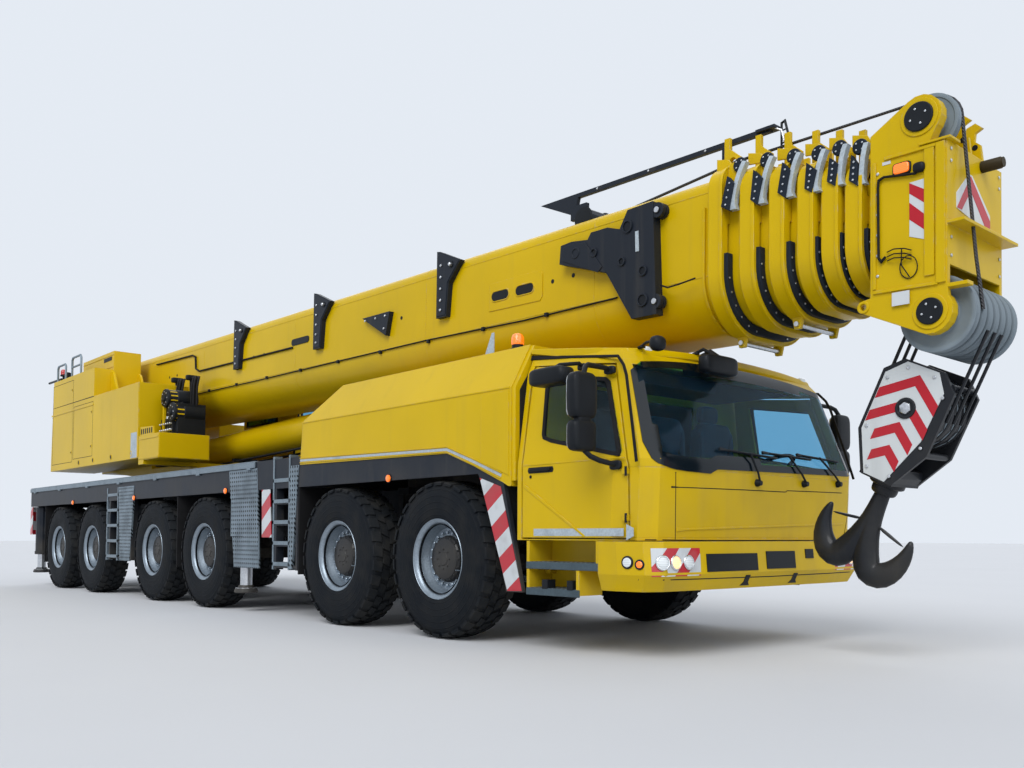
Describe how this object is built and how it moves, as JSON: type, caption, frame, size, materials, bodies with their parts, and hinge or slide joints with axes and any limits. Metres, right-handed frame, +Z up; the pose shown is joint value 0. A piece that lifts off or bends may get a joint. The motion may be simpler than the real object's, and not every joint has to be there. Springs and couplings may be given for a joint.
{
  "type": "mobile crane",
  "caption": "All-terrain mobile crane on steered axles, with cab, outriggers, slewing upper works, lift cylinder, telescopic boom and hook block.",
  "frame": {"origin": "middle of the whole crane seen from above, on the ground under the tyres", "axes": "+X forward, towards the cab and the boom head; +Y to the driver's left; +Z up"},
  "size_m": [16.4045, 3.72, 4.0616],
  "materials": {
    "black": "satin",
    "chrome": "polished",
    "glass": "clear",
    "iron": "matte",
    "sheave": "satin",
    "steel": "satin",
    "trim": "matte",
    "tyre": "matte",
    "yellow": "gloss"
  },
  "bodies": {
    "carrier": {"axles": "iron", "chassis_frame": "black", "deck": "black", "engine": "iron", "engine_hood": "yellow", "cab_shell": "yellow", "cab_front_panel": "yellow", "windscreen": "glass", "bumper": "yellow", "cab_interior": "trim"},
    "wheel_1_right": {"wheel_1_right": "tyre"},
    "knuckle_1_right": {"knuckle_1_right": "iron"},
    "wheel_1_left": {"wheel_1_left": "tyre"},
    "knuckle_1_left": {"knuckle_1_left": "iron"},
    "wheel_2_right": {"wheel_2_right": "tyre"},
    "knuckle_2_right": {"knuckle_2_right": "iron"},
    "wheel_2_left": {"wheel_2_left": "tyre"},
    "knuckle_2_left": {"knuckle_2_left": "iron"},
    "wheel_3_right": {"wheel_3_right": "tyre"},
    "knuckle_3_right": {"knuckle_3_right": "iron"},
    "wheel_3_left": {"wheel_3_left": "tyre"},
    "knuckle_3_left": {"knuckle_3_left": "iron"},
    "wheel_4_right": {"wheel_4_right": "tyre"},
    "wheel_4_left": {"wheel_4_left": "tyre"},
    "wheel_5_right": {"wheel_5_right": "tyre"},
    "knuckle_5_right": {"knuckle_5_right": "iron"},
    "wheel_5_left": {"wheel_5_left": "tyre"},
    "knuckle_5_left": {"knuckle_5_left": "iron"},
    "wheel_6_right": {"wheel_6_right": "tyre"},
    "knuckle_6_right": {"knuckle_6_right": "iron"},
    "wheel_6_left": {"wheel_6_left": "tyre"},
    "knuckle_6_left": {"knuckle_6_left": "iron"},
    "outrigger_beam_front_right": {"outrigger_beam_front_right": "black"},
    "outrigger_jack_front_right": {"outrigger_jack_front_right": "steel"},
    "outrigger_beam_front_left": {"outrigger_beam_front_left": "black"},
    "outrigger_jack_front_left": {"outrigger_jack_front_left": "steel"},
    "outrigger_beam_rear_right": {"outrigger_beam_rear_right": "black"},
    "outrigger_jack_rear_right": {"outrigger_jack_rear_right": "steel"},
    "outrigger_beam_rear_left": {"outrigger_beam_rear_left": "black"},
    "outrigger_jack_rear_left": {"outrigger_jack_rear_left": "steel"},
    "cab_door_right": {"cab_door_right": "yellow"},
    "cab_door_left": {"cab_door_left": "yellow"},
    "turntable": {"turntable": "yellow", "machinery_house": "yellow", "winch_drum": "black"},
    "operator_cab": {"operator_cab": "yellow"},
    "operator_door": {"operator_door": "yellow"},
    "boom_base": {"boom_base": "yellow", "jib_brackets": "black"},
    "telescope_1": {"telescope_1": "yellow"},
    "telescope_2": {"telescope_2": "yellow"},
    "telescope_3": {"telescope_3": "yellow"},
    "telescope_4": {"telescope_4": "yellow"},
    "telescope_5": {"telescope_5": "yellow"},
    "telescope_6": {"telescope_6": "yellow", "head_sheaves": "sheave"},
    "lift_cylinder": {"lift_cylinder": "yellow"},
    "lift_rod": {"lift_rod": "chrome"},
    "hook_block": {"hook_block": "black"},
    "hook": {"hook": "black"}
  },
  "joints": [
    {"name": "steer_1_right", "type": "hinge", "parent": "carrier", "child": "knuckle_1_right", "pos_m": [4.02, -1.19, 0.69], "axis": [0, 0, 1], "range_deg": [-33.01, 33.01]},
    {"name": "spin_1_right", "type": "hinge", "parent": "knuckle_1_right", "child": "wheel_1_right", "pos_m": [4.02, -1.31, 0.69], "axis": [0, 1, 0], "continuous": true},
    {"name": "steer_1_left", "type": "hinge", "parent": "carrier", "child": "knuckle_1_left", "pos_m": [4.02, 1.19, 0.69], "axis": [0, 0, 1], "range_deg": [-33, 33]},
    {"name": "spin_1_left", "type": "hinge", "parent": "knuckle_1_left", "child": "wheel_1_left", "pos_m": [4.02, 1.31, 0.69], "axis": [0, 1, 0], "continuous": true},
    {"name": "steer_2_right", "type": "hinge", "parent": "carrier", "child": "knuckle_2_right", "pos_m": [2.37, -1.19, 0.69], "axis": [0, 0, 1], "range_deg": [-28.06, 28.06]},
    {"name": "spin_2_right", "type": "hinge", "parent": "knuckle_2_right", "child": "wheel_2_right", "pos_m": [2.37, -1.31, 0.69], "axis": [0, 1, 0], "continuous": true},
    {"name": "steer_2_left", "type": "hinge", "parent": "carrier", "child": "knuckle_2_left", "pos_m": [2.37, 1.19, 0.69], "axis": [0, 0, 1], "range_deg": [-28.06, 28.06]},
    {"name": "spin_2_left", "type": "hinge", "parent": "knuckle_2_left", "child": "wheel_2_left", "pos_m": [2.37, 1.31, 0.69], "axis": [0, 1, 0], "continuous": true},
    {"name": "steer_3_right", "type": "hinge", "parent": "carrier", "child": "knuckle_3_right", "pos_m": [-0.78, -1.19, 0.69], "axis": [0, 0, 1], "range_deg": [-19.81, 19.81]},
    {"name": "spin_3_right", "type": "hinge", "parent": "knuckle_3_right", "child": "wheel_3_right", "pos_m": [-0.78, -1.31, 0.69], "axis": [0, 1, 0], "continuous": true},
    {"name": "steer_3_left", "type": "hinge", "parent": "carrier", "child": "knuckle_3_left", "pos_m": [-0.78, 1.19, 0.69], "axis": [0, 0, 1], "range_deg": [-19.81, 19.81]},
    {"name": "spin_3_left", "type": "hinge", "parent": "knuckle_3_left", "child": "wheel_3_left", "pos_m": [-0.78, 1.31, 0.69], "axis": [0, 1, 0], "continuous": true},
    {"name": "spin_4_right", "type": "hinge", "parent": "carrier", "child": "wheel_4_right", "pos_m": [-2.43, -1.31, 0.69], "axis": [0, 1, 0], "continuous": true},
    {"name": "spin_4_left", "type": "hinge", "parent": "carrier", "child": "wheel_4_left", "pos_m": [-2.43, 1.31, 0.69], "axis": [0, 1, 0], "continuous": true},
    {"name": "steer_5_right", "type": "hinge", "parent": "carrier", "child": "knuckle_5_right", "pos_m": [-4.92, -1.19, 0.69], "axis": [0, 0, 1], "range_deg": [-18.91, 18.91]},
    {"name": "spin_5_right", "type": "hinge", "parent": "knuckle_5_right", "child": "wheel_5_right", "pos_m": [-4.92, -1.31, 0.69], "axis": [0, 1, 0], "continuous": true},
    {"name": "steer_5_left", "type": "hinge", "parent": "carrier", "child": "knuckle_5_left", "pos_m": [-4.92, 1.19, 0.69], "axis": [0, 0, 1], "range_deg": [-18.91, 18.91]},
    {"name": "spin_5_left", "type": "hinge", "parent": "knuckle_5_left", "child": "wheel_5_left", "pos_m": [-4.92, 1.31, 0.69], "axis": [0, 1, 0], "continuous": true},
    {"name": "steer_6_right", "type": "hinge", "parent": "carrier", "child": "knuckle_6_right", "pos_m": [-6.57, -1.19, 0.69], "axis": [0, 0, 1], "range_deg": [-27.01, 27.01]},
    {"name": "spin_6_right", "type": "hinge", "parent": "knuckle_6_right", "child": "wheel_6_right", "pos_m": [-6.57, -1.31, 0.69], "axis": [0, 1, 0], "continuous": true},
    {"name": "steer_6_left", "type": "hinge", "parent": "carrier", "child": "knuckle_6_left", "pos_m": [-6.57, 1.19, 0.69], "axis": [0, 0, 1], "range_deg": [-27, 27]},
    {"name": "spin_6_left", "type": "hinge", "parent": "knuckle_6_left", "child": "wheel_6_left", "pos_m": [-6.57, 1.31, 0.69], "axis": [0, 1, 0], "continuous": true},
    {"name": "extend_front_right", "type": "slide", "parent": "carrier", "child": "outrigger_beam_front_right", "axis": [0, -1, 0], "range_m": [0, 2.05]},
    {"name": "jack_front_right", "type": "slide", "parent": "outrigger_beam_front_right", "child": "outrigger_jack_front_right", "axis": [0, 0, -1], "range_m": [0, 0.65]},
    {"name": "extend_front_left", "type": "slide", "parent": "carrier", "child": "outrigger_beam_front_left", "axis": [0, 1, 0], "range_m": [0, 2.05]},
    {"name": "jack_front_left", "type": "slide", "parent": "outrigger_beam_front_left", "child": "outrigger_jack_front_left", "axis": [0, 0, -1], "range_m": [0, 0.65]},
    {"name": "extend_rear_right", "type": "slide", "parent": "carrier", "child": "outrigger_beam_rear_right", "axis": [0, -1, 0], "range_m": [0, 2.05]},
    {"name": "jack_rear_right", "type": "slide", "parent": "outrigger_beam_rear_right", "child": "outrigger_jack_rear_right", "axis": [0, 0, -1], "range_m": [0, 0.65]},
    {"name": "extend_rear_left", "type": "slide", "parent": "carrier", "child": "outrigger_beam_rear_left", "axis": [0, 1, 0], "range_m": [0, 2.05]},
    {"name": "jack_rear_left", "type": "slide", "parent": "outrigger_beam_rear_left", "child": "outrigger_jack_rear_left", "axis": [0, 0, -1], "range_m": [0, 0.65]},
    {"name": "door_right", "type": "hinge", "parent": "carrier", "child": "cab_door_right", "pos_m": [6.202, -1.485, 1.5], "axis": [0, 0, 1], "range_deg": [0, 70]},
    {"name": "door_left", "type": "hinge", "parent": "carrier", "child": "cab_door_left", "pos_m": [6.202, 1.485, 1.5], "axis": [0, 0, -1], "range_deg": [0, 70]},
    {"name": "slew", "type": "hinge", "parent": "carrier", "child": "turntable", "pos_m": [-3.68, 0, 1.85], "axis": [0, 0, 1], "continuous": true},
    {"name": "operator_cab_tilt", "type": "hinge", "parent": "turntable", "child": "operator_cab", "pos_m": [-4.39, 0, 2.04], "axis": [0, -1, 0], "range_deg": [0, 20]},
    {"name": "operator_door_slide", "type": "slide", "parent": "operator_cab", "child": "operator_door", "axis": [-1, 0, 0], "range_m": [0, 0.85]},
    {"name": "boom_lift", "type": "hinge", "parent": "turntable", "child": "boom_base", "pos_m": [-7.28, 0, 2.95], "axis": [0, -1, 0], "range_deg": [0, 82]},
    {"name": "extend_1", "type": "slide", "parent": "boom_base", "child": "telescope_1", "axis": [0.9999, 0, -0.0157], "range_m": [0, 10.6]},
    {"name": "extend_2", "type": "slide", "parent": "telescope_1", "child": "telescope_2", "axis": [0.9999, 0, -0.0157], "range_m": [0, 10.6]},
    {"name": "extend_3", "type": "slide", "parent": "telescope_2", "child": "telescope_3", "axis": [0.9999, 0, -0.0157], "range_m": [0, 10.6]},
    {"name": "extend_4", "type": "slide", "parent": "telescope_3", "child": "telescope_4", "axis": [0.9999, 0, -0.0157], "range_m": [0, 10.6]},
    {"name": "extend_5", "type": "slide", "parent": "telescope_4", "child": "telescope_5", "axis": [0.9999, 0, -0.0157], "range_m": [0, 10.6]},
    {"name": "extend_6", "type": "slide", "parent": "telescope_5", "child": "telescope_6", "axis": [0.9999, 0, -0.0157], "range_m": [0, 10.6]},
    {"name": "lift_cylinder_pivot", "type": "hinge", "parent": "turntable", "child": "lift_cylinder", "pos_m": [-4.28, 0, 2.19], "axis": [0, -1, 0], "range_deg": [0, 96.85]},
    {"name": "lift_rod_slide", "type": "slide", "parent": "lift_cylinder", "child": "lift_rod", "axis": [0.9994, 0, 0.0349], "range_m": [0, 3.6986]},
    {"name": "hook_block_swing", "type": "hinge", "parent": "telescope_6", "child": "hook_block", "pos_m": [7.90055, 0, 2.35648], "axis": [0, 1, 0], "range_deg": [0, 44.02]},
    {"name": "hook_turn", "type": "hinge", "parent": "hook_block", "child": "hook", "pos_m": [7.90055, 0, 2.35648], "axis": [0.4384, 0, 0.8988], "continuous": true}
  ],
  "couplings": [
    {"joint": "steer_1_right", "follows": "steer_1_left", "ratio": 1},
    {"joint": "steer_2_right", "follows": "steer_1_left", "ratio": 0.85},
    {"joint": "steer_2_left", "follows": "steer_1_left", "ratio": 0.85},
    {"joint": "steer_3_right", "follows": "steer_1_left", "ratio": 0.6},
    {"joint": "steer_3_left", "follows": "steer_1_left", "ratio": 0.6},
    {"joint": "steer_5_right", "follows": "steer_6_left", "ratio": 0.7},
    {"joint": "steer_5_left", "follows": "steer_6_left", "ratio": 0.7},
    {"joint": "steer_6_right", "follows": "steer_6_left", "ratio": 1},
    {"joint": "lift_cylinder_pivot", "follows": "boom_lift", "ratio": 1.1787},
    {"joint": "lift_rod_slide", "follows": "boom_lift", "m_per_rad": 2.583},
    {"joint": "hook_block_swing", "follows": "boom_lift", "ratio": 0.53658}
  ]
}
